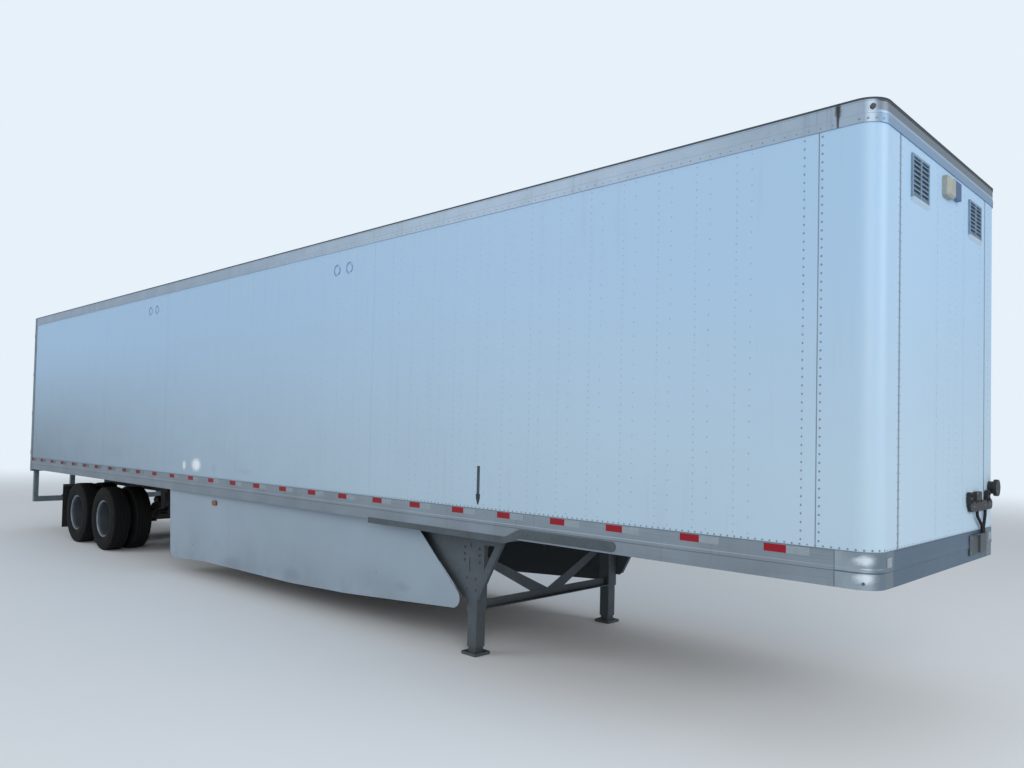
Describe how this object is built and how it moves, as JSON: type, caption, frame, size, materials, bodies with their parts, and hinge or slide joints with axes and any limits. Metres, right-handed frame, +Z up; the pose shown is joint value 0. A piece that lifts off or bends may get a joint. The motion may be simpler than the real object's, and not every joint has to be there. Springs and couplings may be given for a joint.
{
  "type": "semi trailer",
  "caption": "Long closed dry van semi trailer on a tandem of twin wheels, parked on its landing gear, with side skirts, a kingpin coupler and two swinging rear doors.",
  "frame": {"origin": "on the ground, on the centreline, under the middle of the overall length", "axes": "+X forward to the nose, +Y to the road (left) side, +Z up"},
  "size_m": [16.289, 2.602, 4.115],
  "materials": {
    "white_panel": "gloss white paint on aluminium sheet",
    "rail_aluminium": "mill-finish extrusion, dulled",
    "casting": "bare casting, brighter than the rails",
    "roof_sheet": "plain sheet",
    "wood_floor": "worn hardwood laminate",
    "chassis_black": "black primer with road dust",
    "galvanised": "hot-dip galvanised, matt grey",
    "kingpin_steel": "greased forged steel",
    "skirt_white": "white composite panel",
    "rubber": "matt black",
    "tyre": "matt black with dust",
    "rim_silver": "silver-white paint",
    "hub_iron": "bare iron with rust bloom",
    "red_lens": "clear red lens",
    "amber_lens": "clear amber lens",
    "black_plastic": "black mouldings",
    "beige_plastic": "beige cover with a dark panel",
    "louvre_grey": "grey painted louvres"
  },
  "bodies": {
    "chassis": {"air_hoses": "rubber", "air_tank": "chassis_black", "axles": "chassis_black", "beacon_box": "beige_plastic", "bogie_frame": "chassis_black", "bottom_rails": "rail_aluminium", "corner_castings": "casting", "corner_panels": "white_panel", "coupler": "chassis_black", "crank": "galvanised", "cross_shaft": "galvanised", "crossmembers": "chassis_black", "dock_bumpers": "rubber", "equalisers": "chassis_black", "floor": "wood_floor", "front_rail": "rail_aluminium", "front_vents": "louvre_grey", "front_wall": "white_panel", "guard_plates": "galvanised", "hose_bracket": "galvanised", "kingpin": "kingpin_steel", "landing_legs": "galvanised", "leg_bracing": "galvanised", "leg_gearbox": "galvanised", "marker_lamps": "amber_lens", "mud_flaps": "rubber", "nose_box": "black_plastic", "radius_rods": "chassis_black", "rear_frame": "galvanised", "rear_guard": "galvanised", "roof": "roof_sheet", "side_wall_left": "white_panel", "side_wall_right": "white_panel", "skirt_left": "skirt_white", "skirt_right": "skirt_white", "skirt_struts": "galvanised", "slide_rails": "chassis_black", "springs": "chassis_black", "tail_lamps": "red_lens", "top_rail_front": "rail_aluminium", "top_rails": "rail_aluminium", "wing_plates": "galvanised"},
    "wheels_front_left": {"tyres_front_left": "tyre", "rims_front_left": "rim_silver", "hub_front_left": "hub_iron"},
    "wheels_front_right": {"tyres_front_right": "tyre", "rims_front_right": "rim_silver", "hub_front_right": "hub_iron"},
    "wheels_rear_left": {"tyres_rear_left": "tyre", "rims_rear_left": "rim_silver", "hub_rear_left": "hub_iron"},
    "wheels_rear_right": {"tyres_rear_right": "tyre", "rims_rear_right": "rim_silver", "hub_rear_right": "hub_iron"},
    "rear_door_left": {"door_left": "white_panel", "lock_rod_left": "galvanised"},
    "rear_door_right": {"door_right": "white_panel", "lock_rod_right": "galvanised"}
  },
  "joints": [
    {"name": "roll_front_left", "type": "hinge", "parent": "chassis", "child": "wheels_front_left", "pos_m": [-4.1865, 0.985, 0.51], "axis": [0, 1, 0], "continuous": true},
    {"name": "roll_front_right", "type": "hinge", "parent": "chassis", "child": "wheels_front_right", "pos_m": [-4.1865, -0.985, 0.51], "axis": [0, 1, 0], "continuous": true},
    {"name": "roll_rear_left", "type": "hinge", "parent": "chassis", "child": "wheels_rear_left", "pos_m": [-5.4315, 0.985, 0.51], "axis": [0, 1, 0], "continuous": true},
    {"name": "roll_rear_right", "type": "hinge", "parent": "chassis", "child": "wheels_rear_right", "pos_m": [-5.4315, -0.985, 0.51], "axis": [0, 1, 0], "continuous": true},
    {"name": "swing_left", "type": "hinge", "parent": "chassis", "child": "rear_door_left", "pos_m": [-8.1095, 1.28, 2.6], "axis": [0, 0, -1], "range_deg": [0, 265]},
    {"name": "swing_right", "type": "hinge", "parent": "chassis", "child": "rear_door_right", "pos_m": [-8.1095, -1.28, 2.6], "axis": [0, 0, 1], "range_deg": [0, 265]}
  ]
}
